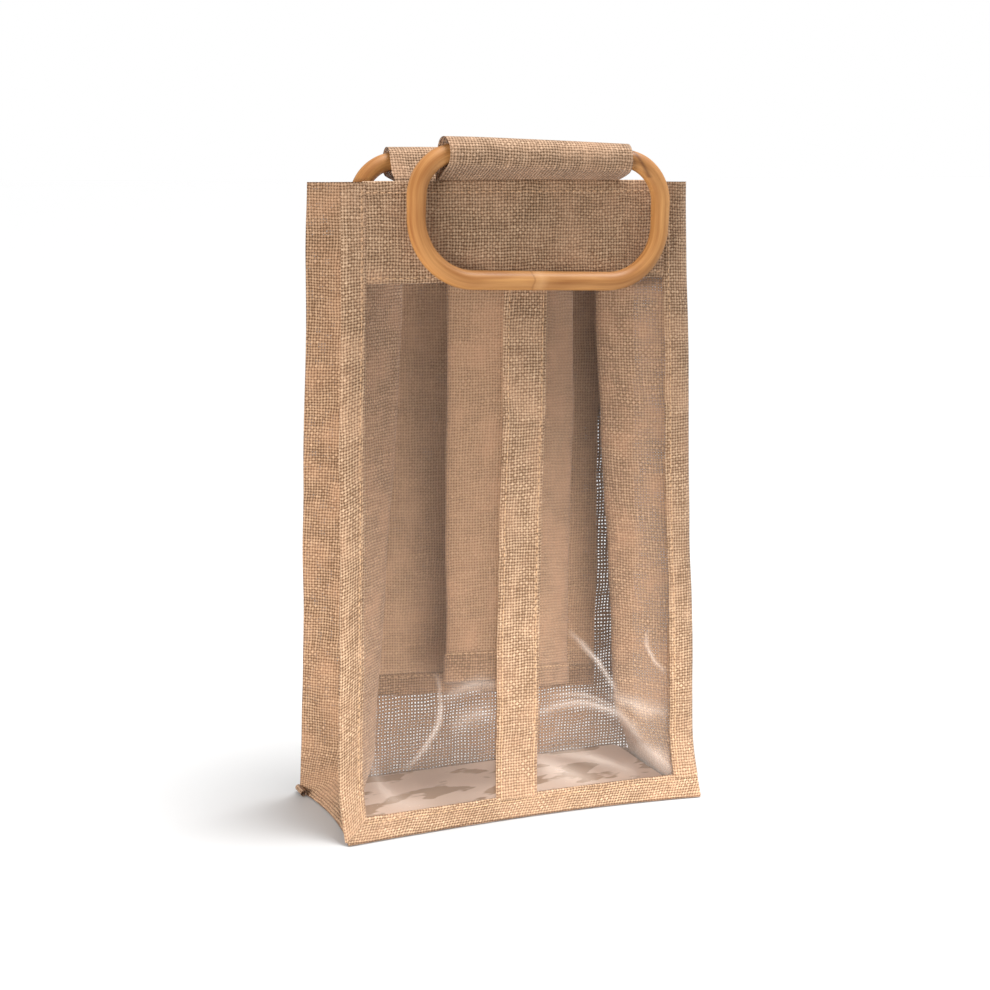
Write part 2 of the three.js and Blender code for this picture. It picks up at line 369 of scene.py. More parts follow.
def dress(piece, body, finish, slot, *stands_for):
    piece.data.materials.clear()
    piece.data.materials.append(finish)
    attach(piece, body)
    if stands_for:
        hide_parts(*stands_for)


loose_jute = weave(
    "loose_jute",
    colour(196, 156, 122),
    colour(92, 62, 38),
    colour(172, 130, 98),
    pitch=2.05,
    openness=1.26,
    seed=1.9,
)
back_rows = spread(118)
back_wall = cut_cloth(
    "back_wall_cloth",
    [
        [(x * half_width(z), back_y(z), z) for x in spread(72, 1, -1)]
        for z in [lerp(SEAM, HEIGHT, up) for up in back_rows]
    ],
)
dress(back_wall, "bag", loose_jute, "jute_wall", "back_panel")


# ---- Side walls ----
# Each is one layer of the same jute, creased down its middle so that the bag folds flat. At
# the foot the crease opens into a triangle, which slopes out to the base seam.

FOLD_SOFTNESS = 0.10
SIDE_BOW = 5 * MM
LEFT_FOLD = {"foot": 29.5 * MM, "rise": 0.056, "most": 45 * MM, "triangle": 31 * MM}
RIGHT_FOLD = {"foot": 29 * MM, "rise": 0.043, "most": 40.5 * MM, "triangle": 42 * MM}
SEAM_DEPTH = 1.2 * MM  # how far behind the frame's face the side wall is sewn on


def crease(side):
    soft = FOLD_SOFTNESS
    return (math.hypot(1, soft) - math.hypot(side, soft)) / (math.hypot(1, soft) - soft)


def bow(side):
    return SIDE_BOW * (1 - side**2)


def fold_depth(fold, side, z):
    def most(height):
        return min(fold["foot"] + fold["rise"] * height, fold["most"])

    triangle = lerp(bow(side), most(fold["triangle"]), z / fold["triangle"])
    blunt = 2.5 * MM  # how softly the triangle turns into the fold
    a, b = most(z) * crease(side), triangle
    mixed = min(max(0.5 + (b - a) / (2 * blunt), 0), 1)
    return lerp(b, a, mixed) - blunt * mixed * (1 - mixed)


def cut_side_wall(name, direction, fold, node):
    grid = []
    for up in spread(116):
        z = lerp(SEAM, HEIGHT, up)
        row = []
        for across in spread(41):
            share = across if direction > 0 else 1 - across
            x = half_width(z) - fold_depth(fold, 2 * share - 1, z)
            front = front_y(direction * half_width(z), z) + SEAM_DEPTH
            # The cloth comes round the corner from the frame.
            x -= 1.3 * MM * max(0, 1 - share / 0.07) ** 2
            row.append((direction * x, lerp(front, back_y(z) - 0.3 * MM, share), z))
        grid.append(row)
    piece = cut_cloth(name, grid)
    dress(piece, "bag", wall_jute, "jute_wall", node)


cut_side_wall("left_wall_cloth", -1, LEFT_FOLD, "left_gusset")
cut_side_wall("right_wall_cloth", 1, RIGHT_FOLD, "right_gusset")


# ---- Base ----
# A piece of jute sewn all round to the walls, with a stiff board of grey-brown fibreboard laid
# on it, cut a little smaller, with its corners rounded.

base_cloth = cut_cloth(
    "base_cloth",
    [
        [
            (
                x * (half_width(0) - bow(2 * up - 1)),
                lerp(front_y(x * half_width(0), 0), back_y(0), up),
                0.6 * MM,
            )
            for x in spread(56, 1, -1)
        ]
        for up in spread(28)
    ],
)
dress(base_cloth, "bag", wall_jute, "jute_wall", "base_panel")

# At the back left corner the seam's spare cloth is rolled up into a small lump.
rolled_end = cut_cloth(
    "rolled_seam_end",
    [
        [
            (
                -half_width(0) - 0.6 * MM + lerp(2.1 * MM, 1.1 * MM, turn) * math.cos(turn * 10),
                back_y(0) + lerp(-11 * MM, 0.5 * MM, along),
                2.5 * MM + lerp(2.1 * MM, 1.1 * MM, turn) * math.sin(turn * 10),
            )
            for along in spread(8)
        ]
        for turn in spread(40)
    ],
)
dress(rolled_end, "bag", wall_jute, "jute_wall")

board_low, board_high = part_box("base_board")
deselect()
bpy.ops.mesh.primitive_cube_add(size=1, location=(board_low + board_high) / 2)
board = bpy.context.object
board.name = "fibre_base_board"
board.scale = board_high - board_low
bpy.ops.object.transform_apply(location=True, rotation=False, scale=True)
bpy.ops.object.mode_set(mode="EDIT")
bpy.ops.mesh.select_all(action="DESELECT")
bpy.ops.mesh.select_mode(type="EDGE")
bpy.ops.object.mode_set(mode="OBJECT")
for edge in board.data.edges:
    a, b = (board.data.vertices[i].co for i in edge.vertices)
    edge.select = abs(a.z - b.z) > 1 * MM
bpy.ops.object.mode_set(mode="EDIT")
bpy.ops.mesh.bevel(offset=4 * MM, segments=5)
bpy.ops.object.mode_set(mode="OBJECT")
soften = board.modifiers.new("edges", "BEVEL")
soften.width, soften.segments, soften.limit_method = 0.5 * MM, 2, "ANGLE"
bpy.ops.object.modifier_apply(modifier="edges")

fibreboard = bpy.data.materials.new("fibreboard")
fibreboard.use_nodes = True
pulp = Wire(fibreboard.node_tree)
grain = pulp.node("ShaderNodeTexCoord", {}, {}, "Object")
grain_split = fibreboard.node_tree.nodes.new("ShaderNodeSeparateXYZ")
fibreboard.node_tree.links.new(grain.socket, grain_split.inputs[0])
board_x = Wire(fibreboard.node_tree, grain_split.outputs["X"])
board_y = Wire(fibreboard.node_tree, grain_split.outputs["Y"])
specks = grain.mottle(900, 4)
# Painted sheen: pale pinkish-grey streaks on the board stand for patches of reflected light on it; the brown
# between them is the board's own colour.
sheen_streaks = (board_x * 26 + board_y * 9).joined(board_y * 55 - board_x * 10).mottle(1.0, 3)
out_of_sheen = ((sheen_streaks - 0.53) * 28).clamped()
board_and_sheen = out_of_sheen.tint(colour(226, 198, 178), colour(168, 132, 100))
board_shader = fibreboard.node_tree.nodes["Principled BSDF"]
fibreboard.node_tree.links.new(board_and_sheen.socket, board_shader.inputs["Base Color"])
board_shader.inputs["Roughness"].default_value = 0.85
board_bump = pulp.node("ShaderNodeBump", {}, {"Height": specks, "Distance": 0.15 * MM})
fibreboard.node_tree.links.new(board_bump.socket, board_shader.inputs["Normal"])
dress(board, "bag", fibreboard, "base_board", "base_board")


# ---- Front frame ----
# Strips of jute, folded over on both long edges, so that they are two layers thick: a deep
# band at the top, one at the foot, one down each side and one down the middle.

FOLD_OVER = 1.8 * MM  # from the front layer to the turned-in edges behind it
TOP_BAND = 51.2 * MM
BOTTOM_BAND_TOP = 11.8 * MM
LEFT_STRIP = 11.5 * MM
RIGHT_STRIP = 13.5 * MM
CENTRE_STRIP = 23 * MM
STRIP_PROUD = 0.5 * MM  # the upright strips are sewn over the bands

frame_jute = weave(
    "frame_jute",
    colour(214, 181, 149),
    colour(118, 84, 56),
    colour(202, 160, 128),
    openness=0.95,
    contrast=1.2,
    seed=3.7,
)


def folded_profile(count):
    """Shares across a folded strip and how far back each lies, from one turned-in edge to the
    other. The two raw edges nearly meet behind the middle."""
    profile = [(t, 1.0) for t in spread(count // 2, 0.485, 0.0)]
    turn = [(a, b) for a, b in ((-0.02, 0.85), (-0.035, 0.5), (-0.02, 0.15))]
    profile += turn
    profile += [(t, 0.0) for t in spread(count)]
    profile += [(1 - a, b) for a, b in reversed(turn)]
    profile += [(t, 1.0) for t in spread(count // 2, 1.0, 0.515)]
    return profile


def cut_strip(name, left, right, levels, count, node, flat):
    """left and right give the strip's edges at a height; levels its two ends at an edge."""
    grid = []
    for up in spread(max(12, int(flat[1] / (3 * MM)))):
        row = []
        for share, back in folded_profile(count):
            inside = min(max(share, 0), 1)
            z = lerp(levels(inside)[0], levels(inside)[1], up)
            a, b = left(z), right(z)
            edge = (share - inside) * 0.03
            x = lerp(a, b, inside) + edge
            # The frame's outer edges are rounded where the side walls meet them.
            from_corner = (half_width(z) - abs(x)) / (4 * MM)
            round_off = 1.3 * MM * max(0, 1 - from_corner) ** 2
            y = front_y(x, z) - STRIP_PROUD + round_off * (1 - back)
            row.append((x, y + back * (FOLD_OVER + STRIP_PROUD), z))
        grid.append(row)
    piece = cut_cloth(name, grid)
    dress(piece, "bag", frame_jute, "jute_frame", node)
    return piece


def centre_x(z):
    return lerp(-6 * MM, 5 * MM, z / HEIGHT)


# The top and bottom bands are folded over along their upper and lower edges.
def cut_band(name, low, high, left, right, node):
    grid = []
    for share, back in folded_profile(max(8, int((high - low) / (3 * MM)))):
        z = lerp(low, high, min(max(share, 0), 1)) + (share - min(max(share, 0), 1)) * 0.03
        row = []
        for across in spread(80):
            x = lerp(left(z), right(z), across)
            row.append((x, front_y(x, z) + back * FOLD_OVER, z))
        grid.append(row)
    piece = cut_cloth(name, grid)
    dress(piece, "bag", frame_jute, "jute_frame", node)
    return piece


cut_band(
    "top_band_cloth",
    HEIGHT - TOP_BAND,
    HEIGHT,
    lambda z: -half_width(z) + LEFT_STRIP - 1 * MM,
    lambda z: half_width(z) - RIGHT_STRIP + 1 * MM,
    "front_top_band",
)


# The left strip meets the bottom band in a mitre, and the right one stops on top of it.
def mitre(z):
    return min(max((z - FLOOR) / (BOTTOM_BAND_TOP - FLOOR), 0), 1)


cut_band(
    "bottom_band_cloth",
    FLOOR,
    BOTTOM_BAND_TOP,
    lambda z: -half_width(z) + LEFT_STRIP * mitre(z),
    half_width,
    "front_bottom_band",
)
cut_strip(
    "left_strip_cloth",
    lambda z: -half_width(z),
    lambda z: -half_width(z) + LEFT_STRIP,
    lambda share: (lerp(FLOOR, BOTTOM_BAND_TOP, share), HEIGHT),
    6,
    "front_left_strip",
    (0.0265, 0.345),
)
cut_strip(
    "right_strip_cloth",
    lambda z: half_width(z) - RIGHT_STRIP,
    lambda z: half_width(z),
    lambda share: (BOTTOM_BAND_TOP - 0.5 * MM, HEIGHT),
    6,
    "front_right_strip",
    (0.031, 0.338),
)
cut_strip(
    "centre_strip_cloth",
    lambda z: centre_x(z) - CENTRE_STRIP / 2,
    lambda z: centre_x(z) + CENTRE_STRIP / 2,
    lambda share: (BOTTOM_BAND_TOP - 0.5 * MM, HEIGHT - TOP_BAND + 0.5 * MM),
    10,
    "front_centre_strip",
    (0.05, 0.284),
)


# ---- Window ----
# A clear soft plastic film, sewn in behind the frame. It is wavy, with whitish streaks painted along its
# creases as reflections, and a haze at its foot.

FILM_TOP = 312 * MM
FILM_INSET = 5 * MM
FILM_BEHIND = 2.3 * MM


def film_wave(x, z):
    ripple = math.sin(x * 62 + 2.2 * math.sin(z * 21)) * 0.35
    swell = noise.noise(Vector((x * 22, z * 9, 2.0))) * 0.9
    return (ripple + swell) * MM


film_grid = []
for film_up in spread(104):
    height = lerp(FLOOR, FILM_TOP, film_up)
    film_row = []
    for film_across in spread(68, -1, 1):
        across_x = film_across * (half_width(height) - FILM_INSET)
        wave = abs(film_wave(across_x, height))
        film_row.append((across_x, front_y(across_x, height) + FILM_BEHIND + wave, height))
    film_grid.append(film_row)
film = cut_cloth("window_film", film_grid)

clear_film = bpy.data.materials.new("clear_film")
clear_film.use_nodes = True
film_start = Wire(clear_film.node_tree)
film_shader = clear_film.node_tree.nodes["Principled BSDF"]
film_place = film_start.node("ShaderNodeTexCoord", {}, {}, "Object")
film_split = clear_film.node_tree.nodes.new("ShaderNodeSeparateXYZ")
clear_film.node_tree.links.new(film_place.socket, film_split.inputs[0])
film_x = Wire(clear_film.node_tree, film_split.outputs["X"])
film_z = Wire(clear_film.node_tree, film_split.outputs["Z"])


def glint_arc(start, middle, end, wide, strong):
    """A soft whitish streak along the arc through three places on the film, in mm: a crease in the film,
    painted whiter as a reflection of light.
    """
    ax, az, bx, bz, cx, cz = (value * MM for value in (*start, *middle, *end))
    d = 2 * (ax * (bz - cz) + bx * (cz - az) + cx * (az - bz))
    a2, b2, c2 = ax * ax + az * az, bx * bx + bz * bz, cx * cx + cz * cz
    x0 = (a2 * (bz - cz) + b2 * (cz - az) + c2 * (az - bz)) / d
    z0 = (a2 * (cx - bx) + b2 * (ax - cx) + c2 * (bx - ax)) / d
    radius = math.hypot(ax - x0, az - z0)
    reach = max(math.hypot(ax - bx, az - bz), math.hypot(cx - bx, cz - bz))
    wander = (waver - 0.5) * 5 * MM
    from_arc = abs(((film_x - x0) * (film_x - x0) + (film_z - z0) * (film_z - z0)).sum(
        "SQRT"
    ) - radius + wander)
    from_middle = (
        (film_x - bx) * (film_x - bx) + (film_z - bz) * (film_z - bz)
    ).sum("SQRT")
    along = (1.08 - from_middle / reach).clamped() ** 0.6
    return (1 - from_arc / (wide * MM) * (0.3 + waver)).clamped() ** 1.6 * along * strong * 0.6


waver = film_x.joined(film_z).mottle(70, 2)
# Painted reflections: whitish streaks along the creases of the film.
crease_glints = glint_arc((35, 96), (46, 83), (59, 62), 2.4, 0.5)
for arc in (
    ((77, 97), (80, 83), (88, 74), 2.2, 0.5),
    ((20, 60), (45, 58), (76, 30), 4.0, 0.42),
    ((20, 66), (40, 64), (60, 52), 2.2, 0.3),
    ((59, 60), (72, 54), (91, 47), 6.0, 0.4),
    ((10, 30), (23, 22), (43, 14), 7.0, 0.38),
    ((15, 33), (42, 27), (68, 15), 4.5, 0.34),
    ((73, 32), (84, 23), (94, 12), 7.0, 0.4),
    ((-50, 82), (-51, 57), (-69, 36), 2.2, 0.4),
    ((-45, 73), (-30, 77), (-13, 76), 6.0, 0.32),
    ((-40, 55), (-30, 60), (-16, 60), 8.0, 0.2),
    ((-88, 44), (-80, 22), (-60, 15), 5.0, 0.2),
):
    crease_glints = crease_glints.sum("MAXIMUM", glint_arc(*arc))
low_haze = (1 - film_z / 0.1).clamped()
film_alpha = 0.03 + low_haze * 0.07 + crease_glints
clear_film.node_tree.links.new(film_alpha.clamped().socket, film_shader.inputs["Alpha"])
film_shader.inputs["Base Color"].default_value = colour(250, 232, 218)
film_shader.inputs["Roughness"].default_value = 0.12
film_shader.inputs["Specular IOR Level"].default_value = 0.14
film_bump = film_start.node(
    "ShaderNodeBump", {}, {"Height": waver, "Distance": 0.5 * MM}
)
clear_film.node_tree.links.new(film_bump.socket, film_shader.inputs["Normal"])
dress(film, "bag", clear_film, "clear_film", "window_sheet")


# ---- Partitions and back curtain ----
# Two cloth partitions hang side by side from the front seam to the back, each with a soft
# crease, and a curtain hangs in front of the back wall. All have a doubled hem at the foot.

PARTITION_TOP = 337 * MM
HEM_PROUD = 0.9 * MM
HEM_ROWS = 8
CURTAIN_LEFT, CURTAIN_RIGHT = -85 * MM, 77 * MM

partition_jute = weave(
    "partition_jute",
    colour(204, 166, 132),
    colour(120, 86, 58),
    colour(190, 146, 114),
    openness=0.9,
    contrast=0.6,
    seed=8.1,
)


hem_jute = weave(
    "hem_jute", colour(196, 158, 124), colour(108, 76, 48), colour(184, 142, 110), seed=6.6
)


def bent_line(front, middle, back, share):
    if share < 0.5:
        return lerp(front, middle, share * 2)
    return lerp(middle, back, share * 2 - 1)


def hemmed_levels(bottom, top, count, hem):
    """Heights down the turned-up hem and then up the cloth, each with its offset."""
    rows = [(z, 1.0) for z in spread(HEM_ROWS, bottom + hem, bottom + 0.6 * MM)]
    rows += [(bottom, 0.5)]
    rows += [(z, 0.0) for z in spread(count, bottom + 0.6 * MM, top)]
    return rows


def show_raw_hem(piece, columns):
    """The hem shows the cloth's rough side, and its faces come first in the mesh."""
    piece.data.materials.append(hem_jute)
    for face in piece.data.polygons[: HEM_ROWS * (columns - 1)]:
        face.material_index = 1


def on_partition(direction, crease_top, crease_foot):
    """Gives the place on a partition at a share of the way back and a height."""

    def place(share, z, turned=0.0):
        seam = lerp(centre_x(z), 3 * MM, share) + direction * 1 * MM
        crease_x = lerp(crease_foot, crease_top, z / HEIGHT)
        x = lerp(seam, crease_x, crease(2 * share - 1))
        x += 0.8 * MM * math.sin(z * 31 + direction) * crease(2 * share - 1)
        y = lerp(front_y(0, z) + 3.3 * MM, back_y(z) - 5.5 * MM, share)
        return (x + direction * turned * HEM_PROUD, y, z)

    return place


def cut_partition(name, direction, place, foot, hem, node):
    columns = spread(36)
    levels = [
        hemmed_levels(bent_line(*foot, share), PARTITION_TOP, 90, hem) for share in columns
    ]
    grid = []
    for i in range(len(levels[0])):
        row = [place(share, *column[i]) for share, column in zip(columns, levels)]
        grid.append(row if direction > 0 else row[::-1])
    piece = cut_cloth(name, grid)
    dress(piece, "bag", partition_jute, "jute_partition", node)
    show_raw_hem(piece, len(columns))


on_left_partition = on_partition(-1, -30 * MM, -34 * MM)
on_right_partition = on_partition(1, 46 * MM, 42 * MM)
cut_partition(
    "left_partition_cloth",
    -1,
    on_left_partition,
    (78 * MM, 69.5 * MM, 55 * MM),
    17 * MM,
    "divider_left",
)
cut_partition(
    "right_partition_cloth",
    1,
    on_right_partition,
    (72 * MM, 61 * MM, 50 * MM),
    12.5 * MM,
    "divider_right",
)

curtain_columns = spread(56)
curtain_levels = [
    hemmed_levels(lerp(57 * MM, 46.5 * MM, share), PARTITION_TOP, 90, 13 * MM)
    for share in curtain_columns
]
curtain = cut_cloth(
    "back_curtain_cloth",
    [
        [
            (
                lerp(CURTAIN_LEFT, CURTAIN_RIGHT, share),
                back_y(column[i][0]) - 4.2 * MM - column[i][1] * HEM_PROUD,
                column[i][0],
            )
            for share, column in zip(curtain_columns, curtain_levels)
        ]
        for i in range(len(curtain_levels[0]))
    ],
)
# Painted light: the curtain has the partitions' jute, painted paler to stand for more light falling on it.
curtain_jute_painted_lighter = weave(
    "curtain_jute_painted_lighter",
    colour(226, 186, 150),
    colour(136, 100, 70),
    colour(212, 168, 134),
    openness=0.9,
    contrast=0.6,
    seed=2.2,
)
dress(curtain, "bag", curtain_jute_painted_lighter, "jute_partition", "back_lining")
show_raw_hem(curtain, len(curtain_columns))


# ---- Handle sleeves ----
# A band of jute is sewn in behind each top edge, goes up round the cane and comes down again,
# so that the handle's top bar lies in a tunnel.

SLEEVE_LENGTH = 104.5 * MM
AXIS_OUT = 41.6 * MM
SLEEVE_RADIUS = 8.1 * MM
TAB_BOTTOM = 338 * MM
TAB_OUTER = 29.4 * MM
TAB_INNER = 27.6 * MM
SLEEVE_FOOT = HEIGHT + 0.4 * MM

sleeve_jute = weave(
    "sleeve_jute",
    colour(226, 190, 158),
    colour(118, 86, 58),
    colour(206, 164, 132),
    openness=0.95,
    contrast=1.1,
    seed=5.3,
)


def cut_sleeve(name, side, middle, axis_height, slope, sleeve_middle, node):
    def touching(out, turn):
        across, rise = AXIS_OUT - out, axis_height - SLEEVE_FOOT
        turned = math.asin(SLEEVE_RADIUS / math.hypot(across, rise))
        return math.atan2(rise, across) + turn * turned

    start = touching(TAB_OUTER, -1) - math.pi / 2
    end = touching(TAB_INNER, 1) + math.pi / 2
    section = [(TAB_OUTER, z) for z in spread(6, TAB_BOTTOM, SLEEVE_FOOT)]
    first = (
        AXIS_OUT + SLEEVE_RADIUS * math.cos(start),
        axis_height + SLEEVE_RADIUS * math.sin(start),
    )
    section += [
        (lerp(TAB_OUTER, first[0], t), lerp(SLEEVE_FOOT, first[1], t)) for t in (0.33, 0.66)
    ]
    section += [
        (AXIS_OUT + SLEEVE_RADIUS * math.cos(a), axis_height + SLEEVE_RADIUS * math.sin(a))
        for a in spread(30, start, end)
    ]
    last = section[-1]
    section += [
        (lerp(last[0], TAB_INNER, t), lerp(last[1], SLEEVE_FOOT, t)) for t in (0.33, 0.66)
    ]
    section += [(TAB_INNER, z) for z in spread(6, SLEEVE_FOOT, TAB_BOTTOM)]
    tube_foot = axis_height - SLEEVE_RADIUS
    grid = []
    for out, z in section:
        share = min(max((z - SLEEVE_FOOT) / (tube_foot - SLEEVE_FOOT), 0), 1)
        row = []
        for along in spread(53):
            # The ends are cut a little aslant, so the mouths lean towards the bag.
            x = sleeve_middle + SLEEVE_LENGTH * (along - 0.5)
            x += (along - 0.5) * 2 * 1.5 * MM * share * (1 - (out - TAB_INNER) / 0.02)
            drop = math.tan(slope) * (x - middle)
            pucker = 0.25 * MM * math.sin(along * 60) * share
            row.append((x, side * (out + pucker), z - share * drop))
        grid.append(row if side < 0 else row[::-1])
    piece = cut_cloth(name, grid)
    dress(piece, "bag", sleeve_jute, "jute_sleeve", node)
    return piece


cut_sleeve(
    "front_sleeve_cloth",
    -1,
    8.6 * MM,
    363.8 * MM,
    math.radians(1.8),
    5.75 * MM,
    "front_handle_sleeve",
)
cut_sleeve(
    "rear_sleeve_cloth", 1, 3 * MM, 361 * MM, 0, 2.5 * MM, "rear_handle_sleeve"
)


# ---- Cane handles ----
# A stick of peeled cane, steamed and bent by hand into a ring with four unlike corners. Its
# ends are cut to long slopes and glued together just outside the sleeve.

CANE_RADIUS = 5.05 * MM
RING_HALF_WIDTH = 70.3 * MM
RING_HEIGHT = 65.4 * MM
RING_CORNERS = {"top_right": 23.5, "top_left": 22.5, "bottom_left": 33, "bottom_right": 30}
ROUND = 0.5523  # how far a quarter circle's handles reach, as a share of its radius


def honey_cane(name, middle, axis_height, seed):
    finish = bpy.data.materials.new(name)
    finish.use_nodes = True
    tree = finish.node_tree
    start = Wire(tree)
    place = start.node("ShaderNodeUVMap", {"uv_map": "grain"})
    split = tree.nodes.new("ShaderNodeSeparateXYZ")
    tree.links.new(place.socket, split.inputs[0])
    along, around = Wire(tree, split.outputs["X"]), Wire(tree, split.outputs["Y"])
    streaks = (along * 22 + seed).joined(around * 480).mottle(1.0, 4)
    fine = (along * 60 + seed).joined(around * 4200).mottle(1.0, 2)
    clouds = (along * 16 + seed).joined(around * 60).mottle(1.0, 2)
    tone = (streaks - 0.5) * 1.5 + (clouds - 0.5) * 2.3 + 0.52
    wood = tone.clamped().tint(colour(156, 98, 46), colour(212, 154, 92))
    spot = start.node("ShaderNodeTexCoord", {}, {}, "Object")
    spot_split = tree.nodes.new("ShaderNodeSeparateXYZ")
    tree.links.new(spot.socket, spot_split.inputs[0])
    x = Wire(tree, spot_split.outputs["X"]) - middle + (fine - 0.5) * 1.6 * MM
    z = Wire(tree, spot_split.outputs["Z"]) - axis_height
    # A joint of the stem, in the lower bar: a wavy dark line with a paler part beside it.
    lower_bar = ((z * -1 - 50 * MM) / MM).clamped()
    from_joint = x + 7 * MM + (z * 900).sum("SINE") * 0.5 * MM
    line = (1 - abs(from_joint) / (0.8 * MM)).clamped() * lower_bar
    pale_part = (1 - abs(from_joint - 4 * MM) / (5 * MM)).clamped() * lower_bar
    marked = (pale_part * 0.4).tint(wood, colour(226, 176, 124))
    marked = (line * 0.55).tint(marked, colour(140, 84, 40))
    # The two ends of the stick meet in a slope, just outside the sleeve.
    upper_bar = ((z + 12 * MM) / MM).clamped()
    scarf = (1 - abs(x - 53 * MM + z * 0.7) / (1.8 * MM)).clamped() * upper_bar
    marked = (scarf * 0.7).tint(marked, colour(96, 56, 28))
    flecked = ((fine - 0.58) * 6).clamped()
    shaded = (flecked * 0.45).tint(marked, colour(150, 90, 42))
    shader = tree.nodes["Principled BSDF"]
    tree.links.new(shaded.socket, shader.inputs["Base Color"])
    gloss = 0.42 + clouds * 0.2
    tree.links.new(gloss.socket, shader.inputs["Roughness"])
    shader.inputs["Coat Weight"].default_value = 0.06
    shader.inputs["Coat Roughness"].default_value = 0.2
    lift = start.node(
        "ShaderNodeBump",
        {},
        {"Height": streaks * 0.4 + line * -1.0, "Distance": 0.12 * MM, "Strength": 0.35},
    )
    tree.links.new(lift.socket, shader.inputs["Normal"])
    return finish


def bend_cane(name, side, middle, axis_height, slope, body, node, seed):
    """A closed curve with four round corners, given the thickness of the cane."""
    deselect()
    bpy.ops.curve.primitive_bezier_circle_add(radius=RING_HALF_WIDTH)
    ring = bpy.context.object
    ring.name = name
    bpy.ops.object.mode_set(mode="EDIT")
    bpy.ops.curve.select_all(action="SELECT")
    bpy.ops.curve.subdivide(number_cuts=1)
    bpy.ops.object.mode_set(mode="OBJECT")
    spots = []
    w, h = RING_HALF_WIDTH, RING_HEIGHT
    corners = {key: value * MM for key, value in RING_CORNERS.items()}

    def corner(across, up, radius, direction_in, direction_out):
        """The two ends of one corner, each with its two handles."""
        cx, cy = across * (w - radius), (-radius if up > 0 else radius - h)
        before = Vector((cx, cy, 0)) - Vector((*direction_out, 0)) * radius
        after = Vector((cx, cy, 0)) + Vector((*direction_in, 0)) * radius
        into, out = Vector((*direction_in, 0)), Vector((*direction_out, 0))
        spots.append((before, into, radius))
        spots.append((after, out, radius))

    corner(-1, 1, corners["top_left"], (-1, 0), (0, -1))
    corner(-1, -1, corners["bottom_left"], (0, -1), (1, 0))
    corner(1, -1, corners["bottom_right"], (1, 0), (0, 1))
    corner(1, 1, corners["top_right"], (0, 1), (-1, 0))
    points = ring.data.splines[0].bezier_points
    count = len(spots)
    for i, (point, (spot, towards, radius)) in enumerate(zip(points, spots)):
        point.handle_left_type = point.handle_right_type = "FREE"
        point.co = spot
        inside = ROUND * radius
        previous = (spots[i - 1][0] - spot).length / 3
        following = (spots[(i + 1) % count][0] - spot).length / 3
        first = i % 2 == 0
        point.handle_left = spot - towards * (previous if first else inside)
        point.handle_right = spot + towards * (inside if first else following)
        # No part of a stem is quite as thick as the next.
        point.radius = 1 + 0.03 * math.sin(i * 2.4 + seed)
    ring.data.dimensions = "3D"
    ring.data.resolution_u = 22
    ring.data.bevel_depth = CANE_RADIUS
    ring.data.bevel_resolution = 8
    bpy.ops.object.convert(target="MESH")
    ring = bpy.context.object
    # The grain: metres along the stem, and metres round it.
    mesh = ring.data
    sides = 20
    stations = len(mesh.vertices) // sides
    co = np.array([v.co[:] for v in mesh.vertices]).reshape(stations, sides, 3)
    centres = co.mean(axis=1)
    steps = np.linalg.norm(np.roll(centres, -1, axis=0) - centres, axis=1)
    lengths = np.concatenate([[0], np.cumsum(steps)])
    if not mesh.uv_layers:
        mesh.uv_layers.new(name="grain")
    mesh.uv_layers[0].name = "grain"
    for polygon in mesh.polygons:
        seats = [divmod(v, sides) for v in polygon.vertices]
        last = max(s for s, _ in seats) == stations - 1 and min(s for s, _ in seats) == 0
        turn = max(a for _, a in seats) == sides - 1 and min(a for _, a in seats) == 0
        for loop, (s, a) in zip(polygon.loop_indices, seats):
            s = stations if last and s == 0 else s
            a = sides if turn and a == 0 else a
            mesh.uv_layers[0].data[loop].uv = (
                lengths[s],
                a / sides * 2 * math.pi * CANE_RADIUS,
            )
    mesh.transform(Matrix.Rotation(math.pi / 2, 4, "X"))
    mesh.transform(Matrix.Rotation(slope, 4, "Y"))
    mesh.transform(Matrix.Translation((middle, side * AXIS_OUT, axis_height)))
    mesh.shade_smooth()
    dress(ring, body, honey_cane(f"honey_{name}", middle, axis_height, seed), "cane", node)
    return ring


bend_cane(
    "front_cane_ring",
    -1,
    8.6 * MM,
    363.8 * MM,
    math.radians(1.8),
    "front_handle",
    "front_cane_handle",
    0.0,
)
bend_cane(
    "rear_cane_ring", 1, 3 * MM, 361 * MM, 0, "rear_handle", "rear_cane_handle", 4.0
)


# ---- Stitching ----
# Rows of machine stitches in tan thread hold down the strips, the bands, the top edges and
# the hems. Each stitch shows as a short thread lying on the cloth.

STITCH = 4 * MM
THREAD_RADIUS = 0.33 * MM

sewing_thread = bpy.data.materials.new("sewing_thread")
sewing_thread.use_nodes = True
thread_shader = sewing_thread.node_tree.nodes["Principled BSDF"]
thread_shader.inputs["Base Color"].default_value = colour(200, 162, 126)
thread_shader.inputs["Roughness"].default_value = 0.7

deselect()
bpy.ops.mesh.primitive_uv_sphere_add(segments=6, ring_count=4, radius=THREAD_RADIUS)
one_stitch = bpy.context.object
one_stitch.scale = (STITCH * 0.42 / THREAD_RADIUS, 1, 1)
bpy.ops.object.transform_apply(location=False, rotation=False, scale=True)
bpy.ops.object.shade_smooth()


def sew(name, slot, *seams):
    """Stitches along straight seams, each from one place to another on a surface."""
    made = []
    for start, end, place in seams:
        length = (Vector(place(*end)) - Vector(place(*start))).length
        count = max(2, round(length / STITCH))
        for i in range(count):
            ends = [
                settled(place(*(lerp(a, b, (i + part) / count) for a, b in zip(start, end))))
                for part in (0.1, 0.9)
            ]
            turn = (ends[1] - ends[0]).to_track_quat("X", "Z").to_matrix().to_4x4()
            mesh = one_stitch.data.copy()
            mesh.transform(Matrix.Translation((ends[0] + ends[1]) / 2) @ turn)
            stitch = bpy.data.objects.new(name, mesh)
            bpy.context.collection.objects.link(stitch)
            made.append(stitch)
    deselect()
    for stitch in made:
        stitch.select_set(True)
    bpy.context.view_layer.objects.active = made[0]
    bpy.ops.object.join()
    dress(made[0], "bag", sewing_thread, slot)


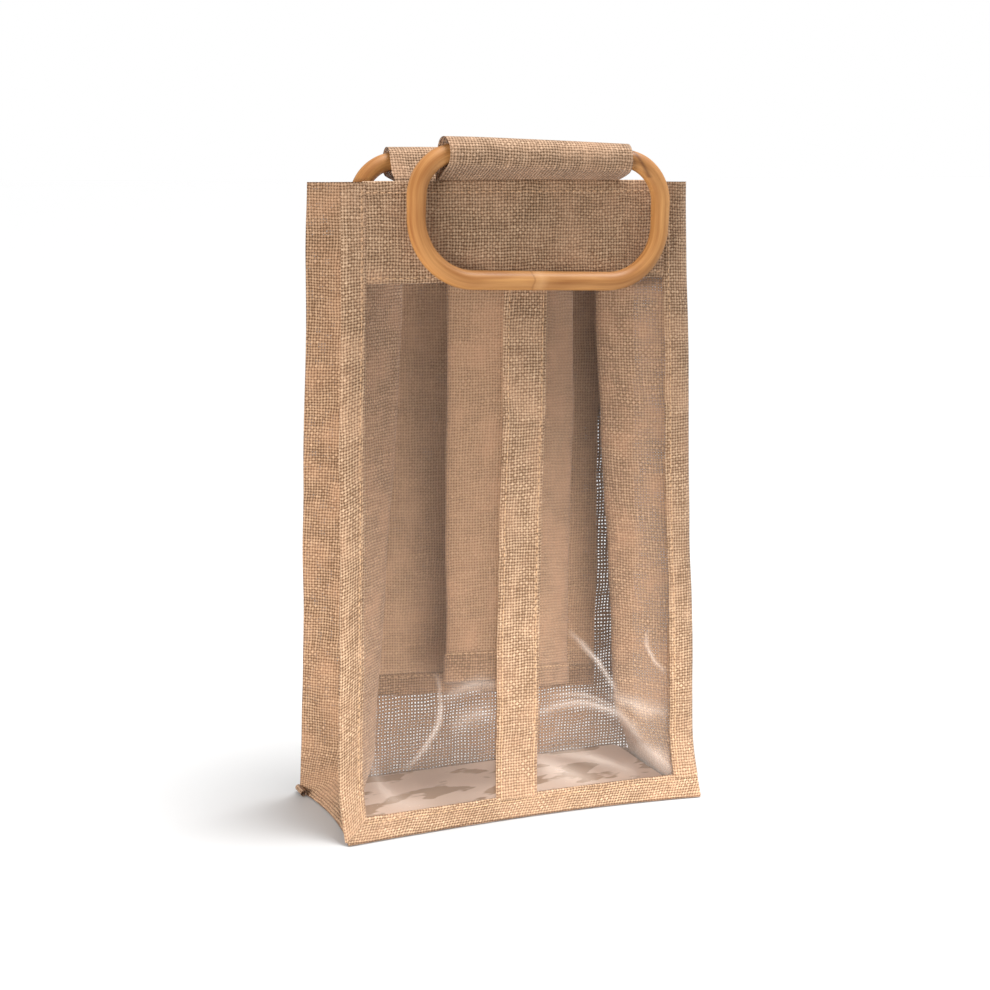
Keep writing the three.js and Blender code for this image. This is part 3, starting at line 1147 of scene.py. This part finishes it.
def on_strip(x, z):
    return (x, front_y(x, z) - STRIP_PROUD - 0.1 * MM, z)


def on_band(x, z):
    return (x, front_y(x, z) - 0.1 * MM, z)


def on_back(x, z):
    return (x, back_y(z) + 0.3 * MM, z)


def up_strip(offset, side):
    """A seam up the inner edge of a strip, as x at the foot and at the top."""
    low, high = BOTTOM_BAND_TOP, HEIGHT - 3 * MM
    return (
        (side * (half_width(low) - offset), low),
        (side * (half_width(high) - offset), high),
        on_strip,
    )


window_top = HEIGHT - TOP_BAND
centre_edge = CENTRE_STRIP / 2 - 1.8 * MM
centre_low, centre_high = centre_x(BOTTOM_BAND_TOP), centre_x(window_top)
sew(
    "frame_stitches",
    "jute_frame",
    up_strip(LEFT_STRIP - 1.8 * MM, -1),
    up_strip(RIGHT_STRIP - 1.8 * MM, 1),
    *[
        (
            (centre_low + side * centre_edge, BOTTOM_BAND_TOP),
            (centre_high + side * centre_edge, window_top),
            on_strip,
        )
        for side in (-1, 1)
    ],
    ((-86 * MM, window_top + 2 * MM), (84 * MM, window_top + 2 * MM), on_band),
    ((-88 * MM, HEIGHT - 5 * MM), (86 * MM, HEIGHT - 5 * MM), on_band),
    ((-95 * MM, BOTTOM_BAND_TOP - 2 * MM), (92 * MM, BOTTOM_BAND_TOP - 2 * MM), on_band),
)
sew(
    "back_edge_stitches",
    "jute_wall",
    ((-97 * MM, HEIGHT - 5 * MM), (97 * MM, HEIGHT - 5 * MM), on_back),
)


def on_hem(place):
    """Just outside the hem of a partition."""
    return lambda share, z: place(share, z, 1.25)


def on_curtain_hem(x, z):
    return (x, back_y(z) - 4.2 * MM - 1.25 * HEM_PROUD, z)


sew(
    "hem_stitches",
    "jute_partition",
    ((0.04, 93 * MM), (0.48, 86.5 * MM), on_hem(on_left_partition)),
    ((0.04, 82.6 * MM), (0.48, 72.2 * MM), on_hem(on_right_partition)),
    ((CURTAIN_LEFT + 1 * MM, 68.5 * MM), (CURTAIN_RIGHT - 1 * MM, 58 * MM), on_curtain_hem),
)
bpy.data.objects.remove(one_stitch)
